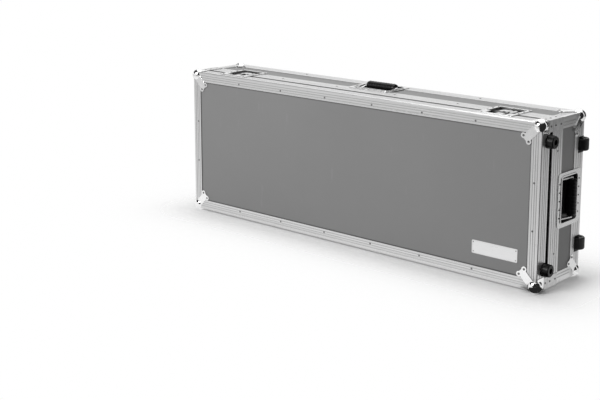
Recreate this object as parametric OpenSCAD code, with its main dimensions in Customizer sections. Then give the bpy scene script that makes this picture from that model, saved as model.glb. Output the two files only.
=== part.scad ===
// Flight case for guitar pedals, standing on its long narrow side.
//
// A shallow lid (the front slab) is hinged along the bottom long side to a deep base. Both are
// laminated plywood panels held in aluminium edging, with ball corners, two recessed butterfly
// latches on top, sprung recess handles on top and on both ends, rubber feet, and two edge
// wheels on the right end for pulling the case along.
//
// Axes: +X towards the end with the wheels, +Y towards the back, +Z up. The origin is the middle
// of the bottom of the overall box. Inside the file, "case coordinates" start at the front left
// bottom corner of the aluminium body, and each outer side has local coordinates: a along the
// side, y towards the back, n outwards, with n = 0 on the outer face of the aluminium.

/* [Case body] */
// Length of the aluminium body along X
body_l = 1340; // [1000:10:1600]
// Depth of the aluminium body along Y
body_w = 224; // [218:1:300]
// Height of the aluminium body along Z, as it stands
body_h = 470; // [450:1:620]
// Thickness of the plywood panels
panel_t = 9; // [7:0.5:12]

/* [Aluminium edging] */
// Wall thickness of the extrusions
edge_t = 1.8; // [1.4:0.1:2.4]
// Width of the flange that the edging lays over the front and back panels
flange_w = 32; // [28:0.5:36]
// Depth of the lid's side wall, from the front face to the seam channel
lid_band_w = 39; // [37:0.5:44]
// Width of the recessed shelf that runs round the lid behind its side wall
shelf_w = 8; // [6:0.5:10]
// Depth of the seam channel below the outer faces
channel_d = 6; // [5:0.5:8]
// Width of the rubber seal in the seam
seal_w = 7; // [6:0.5:8]
// Width of the base's closure band, behind the seam
closure_w = 53; // [50:1:56]
// Width of the rear edging on the sides
rear_band_w = 49.5; // [40:0.5:52]
// Leg of the corner angles that join the side panels
corner_leg = 32; // [28:0.5:34]
// Radius on the outer edges of the extrusions
edge_r = 2.5; // [1.5:0.5:3]
// Width of the grooves along the extrusions
groove_w = 2; // [1:0.1:2.4]
// Depth of the grooves along the extrusions
groove_d = 0.7; // [0.3:0.1:0.8]

/* [Ball corners and braces] */
// Radius of the ball corners
ball_r = 20; // [18:0.5:21]
// Distance from the ball's centre in to the faces of the body
ball_inset = 12; // [11:0.5:13]
// Wall of the pressed ball corners
ball_wall = 1.6; // [1.2:0.1:2]
// Far rivet of each leg, measured along the edge from the corner
leg_far = 57; // [54:0.5:60]
// Near rivet of each leg, measured along the edge from the corner
leg_near = 41; // [40:0.5:44]
// Radius of the lobe around each rivet
lobe_r = 8; // [7:0.5:9]
// Thickness of the corner braces at the seam
brace_t = 1.4; // [1:0.1:1.6]

/* [Butterfly latches] */
// Distance from the ends of the body to the middle of each latch
latch_inset = 165; // [135:1:220]
// Width of the latch plates along the seam
latch_w = 112; // [108:1:120]
// Depth of the latch plate on the base, from the seam
latch_base_d = 78; // [76:1:84]
// Depth of the latch plate on the lid, from the seam
latch_lid_d = 35; // [32:1:36]
// Thickness of the pressed latch plates
latch_t = 1.5; // [1.2:0.1:1.8]
// Travel of the hook towards the back as the key turns half a turn
hook_draw = 7; // [6:0.5:8]
// Drop of the hook as the key turns half a turn
hook_drop = 3; // [2.6:0.1:3.2]
// Radius that the wings of the key sweep
wing_r = 25; // [22:0.5:25.5]

/* [Handles] */
// Length of the handle dishes
dish_l = 156; // [152:1:166]
// Width of the handle dishes
dish_w = 120; // [110:1:126]
// Distance from the back face to the middle of the dishes
dish_inset = 72; // [68:0.5:76]
// Depth of the dishes below the outer faces
dish_d = 14; // [13:0.5:18]
// Diameter of the rubber grips
grip_d = 28; // [22:1:29]
// Gap between the ends of the grips and the walls of the bowls
grip_gap = 13; // [12:0.5:20]

/* [Feet and wheels] */
// Height of the rubber feet
foot_h = 22; // [18:1:26]
// Diameter of the feet where they are fixed
foot_d = 39; // [32:1:39]
// Distance from the top and bottom faces to the middle of the feet on the right end
foot_inset = 56; // [55:1:70]
// Radius of the wheels
wheel_r = 22; // [20:0.5:24]
// Width of the wheels
wheel_w = 34; // [32:1:40]
// Distance between the two wheels
wheel_pitch = 286; // [240:1:288]
// Distance from the wheel axles in to the end face and the back face
axle_inset = 5; // [4.5:0.5:6]
// Radius of the wheel axles
axle_r = 3; // [2.5:0.1:3.2]

/* [Hinges] */
// Number of hinges along the bottom
hinge_count = 3; // [2:1:5]
// Distance from the ends of the body to the middle of the outer hinges
hinge_inset = 250; // [200:5:300]
// Width of each hinge along the seam
hinge_w = 60; // [50:1:80]
// Radius of the hinge knuckles
knuckle_r = 4; // [3.6:0.1:4.2]
// Radius of the hinge pins
hinge_pin_r = 2; // [1.5:0.1:2.2]

/* [Foam] */
// Thickness of the foam in the base
foam_t = 10; // [6:1:12]
// Thickness of the foam in the lid
lid_foam_t = 15; // [8:1:18]

/* [Hidden] */
$fn = 48;

SIDES = ["top", "bottom", "left", "right"];
HANDLES = ["top", "left", "right"];
LATCHES = ["left", "right"];

// Clearances
fit = 0.3;        // between pieces that are let into cut-outs
running = 0.05;   // radial, between a pin and what turns on it
eps = 0.01;       // overshoot of a cut

// The seam, along Y
shelf_end = lid_band_w + shelf_w;
base_y = shelf_end + seal_w;
closure_end = base_y + closure_w;
rear_band_y = body_w - rear_band_w;
panel_n = -edge_t;                      // outer face of the side panels
inner_n = -(edge_t + panel_t);          // inner face of the side panels
foam_n = inner_n - foam_t;              // inner face of the foam on them
rear_panel_y = body_w - edge_t - panel_t;
lip_t = edge_t;                         // inner leg that holds a panel's edge
mitre_d = flange_w + 2;                 // depth to which the mitres are cut

// The overall box: grips at the left and top, balls at the front and bottom, feet at the
// right and back
ball_out = ball_r - ball_inset;
skirt_y = ball_r + 13;                  // how far the lid's balls reach along the sides
skirt_a = ball_r + 15;
grip_out = grip_d + 1 - dish_d;
ball_flat = 0.5;                        // worn flat under the balls that carry the case
origin_x = (body_l + foot_h - grip_out) / 2;
origin_y = (body_w - edge_t + foot_h - ball_out) / 2;
origin_z = ball_out - ball_flat;

// Latch levels, all along n
key_inset = 38;                         // from the base's edge to the axis of the key
latch_mid_y = base_y + key_inset;
latch_seam = base_y - 2.4;              // the two plates meet over the channel
latch_floor = -15.2;
latch_rim = 12;                         // flange round the recess
latch_half = latch_w / 2 - latch_rim;   // half of the recess's width
latch_back = latch_seam + 0.8 + latch_base_d - 8;
catch_half = 32;
catch_floor = -11.5;
catch_front = latch_seam - latch_lid_d + 10;
keeper_top = -7.6;
keeper_t = 4;
keeper_y = base_y - 10.7;
hook_t = 2.4;
hook_half = 12;
hook_top = -1.8;                        // raised front of the hook
hook_low = -9.2;                        // top of the hook under the key
nose_tip = keeper_top + 0.6;
nose_t = 3.5;
nose_y = keeper_y - fit - hook_draw - nose_t;
bridge_top = -5;
bridge_t = 2;
bridge_d = 32;
crank_throw = hook_draw / 2;
crank_r = 2.5;
journal_r = 8;
wing_t = 1.6;
wing_n = -3.1;                          // height of the wing pins
wing_pin_r = 1;
wing_pin_a = 7.7;
wing_knuckle_r = 1.65;
wing_inner_a = 11.4;
wing_half_y = 16;

// Handles
dish_t = 1.5;
dish_r = 12;
bead_h = 1.5;                           // pressed bead round the bowl
bead_w = 4;
bowl_l = dish_l - 26;
bowl_w = dish_w - 36;
bowl_r = 8;
dish_y = body_w - dish_inset;
grip_l = bowl_l - 2 * grip_gap;
bail_r = 3.2;                           // bent steel rod
bend_r = 3.4;                           // the rod's corners are upset a little
bail_pin_y = -30;
bail_n = -7;
bail_reach = 46;                        // from the pins to the grip, along y
bail_rise = grip_d / 2 + 1 - dish_d - bail_n;
bail_lift = atan2(bail_rise, bail_reach);
arm_a = grip_l / 2 + bail_r + 1.5;
pin_end = bowl_l / 2 + dish_t + 2;

// Feet and wheels
foot_y = base_y - fit - foot_d / 2;
foot_pitch = body_h - 2 * foot_inset;
rear_foot_inset = 90;                   // from the ends, the top and the bottom
wheel_clear = 30;                       // more than that at the end with the wheels
foot_tip_d = foot_d - 5;
foot_screw_r = 2.5;
cheek_t = 3;
housing_r = wheel_r + 3.5;
housing_gap = 3;
hub_r = wheel_r - 8;
wheel_x = body_l - axle_inset;
wheel_y = body_w - axle_inset;

// Hinges
hinge_y = base_y - 3;
hinge_n = knuckle_r - 1;
leaf_t = 1.5;
leaf_lid_w = 30;
leaf_base_w = 30;

// ---------------------------------------------------------------- placing

// Case coordinates to the part's own frame
module case() translate([-origin_x, -origin_y, origin_z]) children();

// Local side coordinates (a, y, n) to case coordinates
module on_side(side, a = 0, y = 0) {
  if (side == "top")
    translate([body_l / 2 + a, y, body_h]) children();
  if (side == "bottom")
    translate([body_l / 2 - a, y, 0]) rotate([0, 180, 0]) children();
  if (side == "right")
    translate([body_l, y, body_h / 2 - a]) rotate([0, 90, 0]) children();
  if (side == "left")
    translate([0, y, body_h / 2 + a]) rotate([0, -90, 0]) children();
}

function is_long(side) = side == "top" || side == "bottom";
function side_len(side) = is_long(side) ? body_l : body_h;
function latch_a(side) = (side == "left" ? -1 : 1) * (body_l / 2 - latch_inset);
function wheel_z(end) = body_h / 2 + end * wheel_pitch / 2;

// A corner of the body, with the body in the +X +Y +Z octant
module at_corner(ix, iy, iz)
  translate([ix * body_l, iy * body_w, iz * body_h])
    mirror([ix, 0, 0]) mirror([0, iy, 0]) mirror([0, 0, iz]) children();

// Box from one corner to another
module span(low, high) translate(low) cube(high - low);

// Rectangle with round corners, centred
module round_rect(w, h, r) {
  square([w - 2 * r, h], center = true);
  square([w, h - 2 * r], center = true);
  for (x = [-1, 1], y = [-1, 1])
    translate([x * (w / 2 - r), y * (h / 2 - r)]) circle(r);
}

// ---------------------------------------------------------------- extrusions

// A profile drawn in (y, n), run along one side and mitred at both ends
module mitred_bar(side) {
  run = side_len(side);
  on_side(side) intersection() {
    rotate([90, 0, 90]) linear_extrude(height = run, center = true) children();
    translate([0, body_w + 1, 0]) rotate([90, 0, 0]) linear_extrude(body_w + 2)
      polygon([
        [-run / 2 - 1, 1], [run / 2 + 1, 1],
        [run / 2 - mitre_d, -mitre_d], [-run / 2 + mitre_d, -mitre_d]
      ]);
  }
}

// Material to take off a profile so that its outer edge at (y, 0) is round
module edge_round(y, way)
  translate([y, 0]) mirror([way < 0 ? 1 : 0, 0]) difference() {
    translate([-1, -edge_r]) square([edge_r + 1, edge_r + 1]);
    translate([edge_r, -edge_r]) circle(edge_r);
  }

// Grooves along a wall that faces n, at the given places along y
module wall_grooves(places)
  for (y = places) translate([y - groove_w / 2, -groove_d]) square([groove_w, groove_d + 1]);

// Grooves along a flange that faces y, at the given depths below n = 0
module flange_grooves(places, face)
  for (n = places) translate([face - (face > 0 ? groove_d : 1), -n - groove_w / 2])
    square([groove_d + 1, groove_w]);

function share(from, to, parts) = [for (i = [1:parts - 1]) from + (to - from) * i / parts];

module lid_edge_profile() difference() {
  union() {
    translate([0, -flange_w]) square([edge_t, flange_w]);
    translate([0, -edge_t]) square([lid_band_w, edge_t]);
    translate([lid_band_w - edge_t, -channel_d - edge_t])
      square([edge_t, channel_d + edge_t]);
    translate([lid_band_w - edge_t, -channel_d - edge_t])
      square([shelf_w + edge_t, edge_t]);
    translate([edge_t + panel_t, -flange_w + 4]) square([lip_t, flange_w - 4]);
  }
  edge_round(0, 1);
  wall_grooves(share(4, lid_band_w, 4));
  flange_grooves(share(4, flange_w, 4), 0);
}

module base_closure_profile() {
  front_lip = channel_d + edge_t + fit * 2;
  difference() {
    union() {
      translate([base_y, -edge_t]) square([closure_w, edge_t]);
      translate([base_y, inner_n - lip_t]) square([edge_t, -inner_n + lip_t]);
      translate([base_y, inner_n - lip_t]) square([23, lip_t]);
      translate([shelf_end - 4, -front_lip - lip_t]) square([seal_w + 4 + edge_t, lip_t]);
    }
    wall_grooves(share(base_y, closure_end, 5));
  }
}

module rear_edge_profile() difference() {
  union() {
    translate([rear_band_y, -edge_t]) square([rear_band_w, edge_t]);
    translate([body_w - edge_t, -flange_w]) square([edge_t, flange_w]);
  }
  edge_round(body_w, -1);
  wall_grooves(share(rear_band_y, body_w - 4, 4));
  flange_grooves(share(4, flange_w, 4), body_w);
}

// The round room that the ball corners leave in the edging of a side, its poles along the side
module ball_rooms(side, iy) for (ix = [0, 1], iz = [0, 1]) at_corner(ix, iy, iz)
  translate([ball_inset, ball_inset, ball_inset]) rotate([0, is_long(side) ? 90 : 0, 0])
    sphere(ball_r + fit);

// Everything that is let into the sides from outside, as cutters in case coordinates
module dish_rooms() for (side = HANDLES) on_side(side, 0, dish_y)
  translate([0, 0, foam_n - 1]) linear_extrude(2 - foam_n)
    round_rect(2 * (pin_end + 1), bowl_w + 2 * (dish_t + fit), bowl_r + dish_t + fit);

module latch_rooms() for (side = LATCHES) on_side("top", latch_a(side)) {
  span([-latch_half - latch_t - fit, shelf_end - 5, foam_n - 1],
    [latch_half + latch_t + fit, latch_back + latch_t + fit, 1]);
  span([-catch_half - latch_t - fit, catch_front - latch_t - fit, foam_n - 1],
    [catch_half + latch_t + fit, base_y, 1]);
}

module wheel_rooms() for (end = [-1, 1]) translate([wheel_x, wheel_y, wheel_z(end)])
  cylinder(r = housing_r + fit, h = wheel_w + 2 * (housing_gap + cheek_t + fit), center = true);

// ---------------------------------------------------------------- lid

module lid_front_panel() color("dimgray") case()
  span([edge_t + fit, edge_t, edge_t + fit],
    [body_l - edge_t - fit, edge_t + panel_t, body_h - edge_t - fit]);

module lid_edge(side) color("silver") case() difference() {
  mitred_bar(side) lid_edge_profile();
  ball_rooms(side, 0);
  latch_rooms();
}

module lid_foam() color("#26282c") case()
  span([flange_w, edge_t + panel_t, flange_w],
    [body_l - flange_w, edge_t + panel_t + lid_foam_t, body_h - flange_w]);

// The two rivet lobes and the neck of a leg, along the diagonal of a face
module leg_outline() {
  middle = (leg_far + leg_near) / 2 * sqrt(2);
  neck_w = 2 * lobe_r * 1.5;
  for (p = [[leg_far, leg_near], [leg_near, leg_far]]) translate(p) circle(lobe_r);
  rotate(45) translate([ball_inset, -neck_w / 2]) square([middle - ball_inset + 2, neck_w]);
  rotate(45) translate([middle - lobe_r, -neck_w / 2]) square([2 * lobe_r - 3, neck_w]);
}

// A flat piece on one face of a corner, joined to the rim of the ball
module corner_plate() translate([0, 0, -ball_wall]) linear_extrude(ball_wall) difference() {
  children();
  translate([ball_inset, ball_inset]) circle(ball_inset + 2.8);
}

// A long leg, with pads under the lobes that reach down to the panel inside the edging
module corner_leg_plate(edge_u, edge_v) {
  corner_plate() leg_outline();
  translate([0, 0, -eps]) linear_extrude(edge_t + eps) intersection() {
    for (p = [[leg_far, leg_near], [leg_near, leg_far]]) translate(p) circle(lobe_r);
    translate([edge_u + fit, edge_v + fit]) square(body_h / 4);
  }
}

// A short skirt, where a long leg has no room
module corner_skirt(u, v) corner_plate()
  translate([(u + 3) / 2, (v + 3) / 2]) round_rect(u - 3, v - 3, 5);

// The three faces of a corner: z = 0, x = 0 and y = 0
module z_face() children();
module x_face() rotate([90, 0, 90]) children();
module y_face() rotate([90, 0, 90]) rotate([90, 0, 90]) children();

module ball_shell() difference() {
  translate([ball_inset, ball_inset, ball_inset]) difference() {
    sphere(ball_r);
    sphere(ball_r - ball_wall);
  }
  translate([edge_t, edge_t, edge_t]) cube(2 * ball_r);
}

module floor_flats() translate([-body_l, -body_w, -ball_out - 10])
  cube([3 * body_l, 3 * body_w, 10 + ball_flat]);

module lid_ball_corners() color("gainsboro") case() difference() {
  for (ix = [0, 1], iz = [0, 1]) at_corner(ix, 0, iz) {
    ball_shell();
    y_face() corner_leg_plate(flange_w, flange_w);
    x_face() corner_skirt(skirt_y, skirt_a);
    z_face() corner_skirt(skirt_a, skirt_y);
  }
  floor_flats();
}

// An angle plate round an edge that runs along Y, from y0 to y1
module brace(y0, y1) difference() {
  span([-brace_t, y0, -brace_t], [corner_leg, y1, corner_leg]);
  span([0, y0 - 1, 0], [corner_leg + 1, y1 + 1, corner_leg + 1]);
}

module lid_corner_braces() color("silver") case()
  for (ix = [0, 1], iz = [0, 1]) at_corner(ix, 0, iz)
    brace(skirt_y + fit, latch_seam);

// A tapered rubber foot on local n, with a deep round well for its screw
module foot() rotate_extrude($fn = 64) polygon([
  [foot_screw_r, 0], [foot_d / 2, 0], [foot_tip_d / 2 + 0.6, foot_h - 2],
  [foot_tip_d / 2 - 1.4, foot_h], [8, foot_h], [7, foot_h - 12], [foot_screw_r, foot_h - 12]
]);

module end_feet() color("#1c1c1e") case()
  for (way = [-1, 1]) on_side("right", way * foot_pitch / 2, foot_y) foot();

// ---------------------------------------------------------------- hinges

hinge_span = body_l - 2 * hinge_inset;
function hinge_a(i) = (i / (hinge_count - 1) - 0.5) * hinge_span;

// Knuckles over part of a hinge's width
module knuckle(a0, a1) translate([a0, hinge_y, hinge_n]) rotate([0, 90, 0])
  cylinder(r = knuckle_r, h = a1 - a0);

module knuckle_bore() translate([-hinge_w, hinge_y, hinge_n]) rotate([0, 90, 0])
  cylinder(r = hinge_pin_r + running, h = 2 * hinge_w);

module hinge_lid_leaves() color("silver") case() for (i = [0:hinge_count - 1])
  on_side("bottom", hinge_a(i)) difference() {
    union() {
      span([-hinge_w / 2, hinge_y - leaf_lid_w, 0],
        [hinge_w / 2, hinge_y - knuckle_r - fit, leaf_t]);
      span([-hinge_w / 6, hinge_y - knuckle_r - 1, 0], [hinge_w / 6, hinge_y, leaf_t]);
      knuckle(-hinge_w / 6, hinge_w / 6);
    }
    knuckle_bore();
  }

module hinge_base_leaves() color("silver") case() for (i = [0:hinge_count - 1])
  on_side("bottom", hinge_a(i)) difference() {
    union() {
      span([-hinge_w / 2, hinge_y + knuckle_r + fit, 0],
        [hinge_w / 2, hinge_y + leaf_base_w, leaf_t]);
      for (way = [0, 1]) mirror([way, 0, 0]) {
        span([hinge_w / 6 + fit, hinge_y, 0], [hinge_w / 2, hinge_y + knuckle_r + 1, leaf_t]);
        knuckle(hinge_w / 6 + fit, hinge_w / 2);
      }
    }
    knuckle_bore();
  }

module hinge_pins() color("gray") case() for (i = [0:hinge_count - 1])
  on_side("bottom", hinge_a(i)) translate([-hinge_w / 2, hinge_y, hinge_n]) rotate([0, 90, 0])
    cylinder(r = hinge_pin_r, h = hinge_w);

// ---------------------------------------------------------------- base

module base_rear_panel() color("dimgray") case() difference() {
  span([edge_t + fit, rear_panel_y, edge_t + fit],
    [body_l - edge_t - fit, body_w - edge_t, body_h - edge_t - fit]);
  wheel_rooms();
}

// Top and bottom panels run the whole length; the end panels stand between them
module base_side_panel(side) color("dimgray") case() difference() {
  end_gap = (side == "top" || side == "bottom") ? edge_t + fit : edge_t + panel_t;
  half = side_len(side) / 2 - end_gap;
  on_side(side) span([-half, base_y + edge_t + fit, inner_n], [half, rear_panel_y, panel_n]);
  dish_rooms();
  latch_rooms();
  wheel_rooms();
}

module base_closure(side) color("silver") case() difference() {
  mitred_bar(side) base_closure_profile();
  latch_rooms();
}

module rear_edge(side) color("silver") case() difference() {
  mitred_bar(side) rear_edge_profile();
  ball_rooms(side, 1);
  dish_rooms();
  wheel_rooms();
}

module base_corner_edges() color("silver") case()
  for (ix = [0, 1], iz = [0, 1]) at_corner(ix, 0, iz) difference() {
    span([0, closure_end, 0], [corner_leg, rear_band_y, corner_leg]);
    span([edge_t, 0, edge_t], [corner_leg + 1, body_w, corner_leg + 1]);
    for (u = share(6, corner_leg, 3)) {
      span([u, 0, -1], [u + groove_w, body_w, groove_d]);
      span([-1, 0, u], [groove_d, body_w, u + groove_w]);
    }
  }

module base_ball_corners() color("gainsboro") case() difference() {
  for (ix = [0, 1], iz = [0, 1]) at_corner(ix, 1, iz) {
    ball_shell();
    y_face() corner_leg_plate(flange_w, flange_w);
    x_face() corner_leg_plate(rear_band_w, corner_leg);
    z_face() corner_leg_plate(corner_leg, rear_band_w);
  }
  floor_flats();
}

module base_corner_braces() color("silver") case()
  for (ix = [0, 1], iz = [0, 1]) at_corner(ix, 0, iz)
    brace(latch_seam + 0.8, closure_end - 2);

// Rubber seal on the base's tongue, all round the seam
module seal() color("#101010") case() difference() {
  for (side = SIDES) mitred_bar(side)
    translate([shelf_end + fit, -channel_d - edge_t - 2 * fit])
      square([seal_w - fit, edge_t + fit]);
  latch_rooms();
}

module base_floor_foam() color("#26282c") case() difference() {
  gap = edge_t + panel_t + foam_t + 2 * fit;
  span([gap, rear_panel_y - foam_t, gap], [body_l - gap, rear_panel_y, body_h - gap]);
  wheel_rooms();
}

module base_wall_foam() color("#26282c") case() difference() {
  for (side = SIDES) {
    end_gap = edge_t + panel_t + fit + ((side == "left" || side == "right") ? foam_t : 0);
    half = side_len(side) / 2 - end_gap;
    on_side(side) span([-half, base_y + 24, foam_n], [half, rear_panel_y, inner_n]);
  }
  dish_rooms();
  latch_rooms();
  wheel_rooms();
}

rear_foot_x = [rear_foot_inset, body_l - rear_foot_inset - wheel_clear];
rear_foot_z = [rear_foot_inset, body_h - rear_foot_inset];
module rear_feet() color("#1c1c1e") case()
  for (x = rear_foot_x, z = rear_foot_z)
    translate([x, body_w - edge_t, z]) rotate([-90, 0, 0]) foot();

// ---------------------------------------------------------------- wheels

module wheel_tyre(end) color("#161616") case()
  translate([wheel_x, wheel_y, wheel_z(end)]) rotate_extrude($fn = 64) polygon([
    [hub_r, -wheel_w / 2 + 1], [wheel_r - 2, -wheel_w / 2], [wheel_r, -wheel_w / 2 + 3],
    [wheel_r, wheel_w / 2 - 3], [wheel_r - 2, wheel_w / 2], [hub_r, wheel_w / 2 - 1]
  ]);

module wheel_hub(end) color("dimgray") case()
  translate([wheel_x, wheel_y, wheel_z(end)]) rotate_extrude($fn = 64) polygon([
    [axle_r + running, -wheel_w / 2 - 1.5], [axle_r + 3, -wheel_w / 2 - 1.5],
    [axle_r + 3, -wheel_w / 2 + 3], [hub_r, -wheel_w / 2 + 3],
    [hub_r, wheel_w / 2 - 3], [axle_r + 3, wheel_w / 2 - 3],
    [axle_r + 3, wheel_w / 2 + 1.5], [axle_r + running, wheel_w / 2 + 1.5]
  ]);

// A pressed cup let into the edge, with cheeks that carry the axle
module wheel_housings() color("gray") case() for (end = [-1, 1]) intersection() {
  translate([wheel_x, wheel_y, wheel_z(end)]) difference() {
    cylinder(r = housing_r, h = wheel_w + 2 * (housing_gap + cheek_t), center = true);
    cylinder(r = housing_r - 2, h = wheel_w + 2 * housing_gap, center = true);
    cylinder(r = axle_r, h = 2 * wheel_w, center = true);
  }
  span([0, 0, 0], [body_l, body_w, body_h]);
}

module wheel_axles() color("silver") case() for (end = [-1, 1])
  translate([wheel_x, wheel_y, wheel_z(end)])
    cylinder(r = axle_r, h = wheel_w + 2 * (housing_gap + cheek_t), center = true);

// ---------------------------------------------------------------- handles

module handle_dish(side) color("silver") case() on_side(side, 0, dish_y) {
  difference() {
    union() {
      linear_extrude(dish_t) round_rect(dish_l, dish_w, dish_r);
      linear_extrude(dish_t + bead_h)
        round_rect(bowl_l + 2 * bead_w, bowl_w + 2 * bead_w, bowl_r + bead_w);
      translate([0, 0, -dish_d - dish_t]) linear_extrude(dish_d + dish_t + eps)
        round_rect(bowl_l + 2 * dish_t, bowl_w + 2 * dish_t, bowl_r + dish_t);
    }
    translate([0, 0, -dish_d]) linear_extrude(dish_d + dish_t + bead_h + 1)
      round_rect(bowl_l, bowl_w, bowl_r);
    translate([-bowl_l, bail_pin_y, bail_n]) rotate([0, 90, 0])
      cylinder(r = bail_r + running, h = 2 * bowl_l);
  }
}

// A rod bent to a bow: two pins in the bowl's short walls, two arms, and the bar in the grip
module handle_bail(side) color("gray") case()
  on_side(side, 0, dish_y) translate([0, bail_pin_y, bail_n]) {
    for (way = [0, 1]) mirror([way, 0, 0]) {
      translate([arm_a, 0, 0]) rotate([0, 90, 0]) cylinder(r = bail_r, h = pin_end - arm_a);
      translate([arm_a, 0, 0]) sphere(bend_r);
      translate([arm_a, 0, 0]) rotate([bail_lift - 90, 0, 0])
        cylinder(r = bail_r, h = norm([bail_reach, bail_rise]));
      translate([arm_a, bail_reach, bail_rise]) sphere(bend_r);
    }
    translate([-arm_a, bail_reach, bail_rise]) rotate([0, 90, 0])
      cylinder(r = bail_r, h = 2 * arm_a);
  }

module handle_grip(side) color("#141414") case()
  on_side(side, 0, dish_y) translate([0, bail_pin_y + bail_reach, bail_n + bail_rise])
    rotate([0, 90, 0]) rotate_extrude($fn = 64) polygon(concat(
      [[bail_r, -grip_l / 2], [grip_d / 2 - 1.5, -grip_l / 2]],
      [for (i = [0:9]) for (p = [[-0.5, -1.5], [0, 0], [0, 0.7], [-0.5, 2.2]])
        [grip_d / 2 + p[0], -grip_l / 2 + 5 + i * (grip_l - 10) / 9.25 + p[1]]],
      [[grip_d / 2 - 1.5, grip_l / 2], [bail_r, grip_l / 2]]
    ));

// ---------------------------------------------------------------- butterfly latches

// Pressed plate on the base, with the recess that the key turns in
module latch_dish(side) color("gainsboro") case() on_side("top", latch_a(side)) {
  front = latch_seam + 0.8;
  difference() {
    union() {
      span([-latch_w / 2, front, 0], [latch_w / 2, front + latch_base_d, latch_t]);
      span([-latch_half - latch_t, front, latch_floor - latch_t],
        [latch_half + latch_t, latch_back + latch_t, latch_t]);
    }
    span([-latch_half, front - 1, latch_floor], [latch_half, latch_back, latch_t + 1]);
    for (way = [-1, 1]) translate([way * latch_w / 2, front + latch_base_d, 0]) rotate(45)
      cube([7, 7, 9], center = true);
  }
  for (way = [0, 1]) mirror([way, 0, 0]) {
    span([latch_half - 8, latch_mid_y - bridge_d / 2, latch_floor - eps],
      [latch_half + eps, latch_mid_y + bridge_d / 2, bridge_top - bridge_t]);
    span([hook_half + fit, latch_mid_y - bridge_d / 2, latch_floor - eps],
      [hook_half + fit + 3, latch_mid_y + bridge_d / 2, hook_low - 0.4]);
  }
}

// Plate across the recess that carries the key
module latch_bridges() color("silver") case() for (side = LATCHES)
  on_side("top", latch_a(side)) difference() {
    span([-latch_half + fit, latch_mid_y - bridge_d / 2, bridge_top - bridge_t],
      [latch_half - fit, latch_mid_y + bridge_d / 2, bridge_top]);
    translate([0, latch_mid_y, -body_w]) cylinder(r = journal_r + running, h = 2 * body_w);
  }

// Side view of the hook: nose, raised front, ramp and the low plate that the key drives
module latch_hook(side) color("gray") case() on_side("top", latch_a(side)) difference() {
  ramp_y = base_y + 6;
  ramp_l = 12;
  tail_y = latch_mid_y + 18;
  translate([-hook_half, 0, 0]) rotate([90, 0, 90]) linear_extrude(2 * hook_half) polygon([
    [nose_y, nose_tip], [nose_y, hook_top], [ramp_y, hook_top],
    [ramp_y + ramp_l, hook_low], [tail_y, hook_low], [tail_y, hook_low - hook_t],
    [ramp_y + ramp_l - 1.3, hook_low - hook_t], [ramp_y - 1.3, hook_top - hook_t],
    [nose_y + nose_t, hook_top - hook_t], [nose_y + nose_t, nose_tip]
  ]);
  // Cross slot for the crank pin. The pin moves as a sine and the hook evenly, so the slot is
  // longer than the pin along Y by the difference.
  slack = 0.11 * hook_draw + 2 * running;
  slot_y = latch_mid_y - crank_throw;
  span([-crank_throw - crank_r - fit, slot_y - crank_r - slack, latch_floor],
    [crank_throw + crank_r + fit, slot_y + crank_r + slack, 0]);
}

// Journal, crank and the block that holds the wing pins
module latch_spindle(side) color("silver") case()
  on_side("top", latch_a(side)) translate([0, latch_mid_y, 0]) {
    below = bridge_top - bridge_t;
    translate([0, 0, below - 1.8]) cylinder(r = journal_r + 3, h = 1.6);
    translate([0, 0, below - 0.3]) cylinder(r = journal_r, h = bridge_t + 0.5);
    translate([0, 0, bridge_top + 0.2 - eps]) linear_extrude(-bridge_top - 1.6) difference() {
      circle(journal_r + 5);
      for (way = [-1, 1]) translate([way * (5.5 + 10), 0]) square([20, 16.4], center = true);
    }
    for (way = [-1, 1]) translate([way * wing_pin_a, 0, wing_n]) rotate([90, 0, 0])
      cylinder(r = wing_pin_r, h = 20, center = true);
    translate([0, -crank_throw, latch_floor + 0.2]) cylinder(r = crank_r, h = 7);
  }

// One wing of the key, hinged on the spindle's pin, at the side given by way
module latch_wing(side, way) color("gainsboro") case()
  on_side("top", latch_a(side)) translate([0, latch_mid_y, 0])
    mirror([way < 0 ? 1 : 0, 0, 0]) difference() {
      union() {
        translate([0, 0, wing_n - wing_t / 2]) linear_extrude(wing_t) {
          intersection() {
            circle(wing_r, $fn = 72);
            translate([wing_inner_a, -wing_half_y]) square([wing_r, 2 * wing_half_y]);
          }
          translate([wing_pin_a, -8]) square([wing_inner_a - wing_pin_a + 1, 16]);
        }
        translate([wing_pin_a, 0, wing_n]) rotate([90, 0, 0])
          cylinder(r = wing_knuckle_r, h = 16, center = true);
      }
      translate([wing_pin_a, 0, wing_n]) rotate([90, 0, 0])
        cylinder(r = wing_pin_r + running, h = 30, center = true);
    }

// Pressed plate on the lid, with the keeper that the hook's nose drops behind
module latch_catches() color("gainsboro") case() for (side = LATCHES)
  on_side("top", latch_a(side)) {
    difference() {
      union() {
        span([-latch_w / 2, latch_seam - latch_lid_d, 0], [latch_w / 2, latch_seam, latch_t]);
        span([-catch_half - latch_t, catch_front - latch_t, catch_floor - latch_t],
          [catch_half + latch_t, latch_seam, latch_t]);
      }
      span([-catch_half, catch_front, catch_floor], [catch_half, base_y, latch_t + 1]);
    }
    span([-hook_half - 2, keeper_y, catch_floor - eps],
      [hook_half + 2, keeper_y + keeper_t, keeper_top]);
  }

// ---------------------------------------------------------------- the pieces

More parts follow.
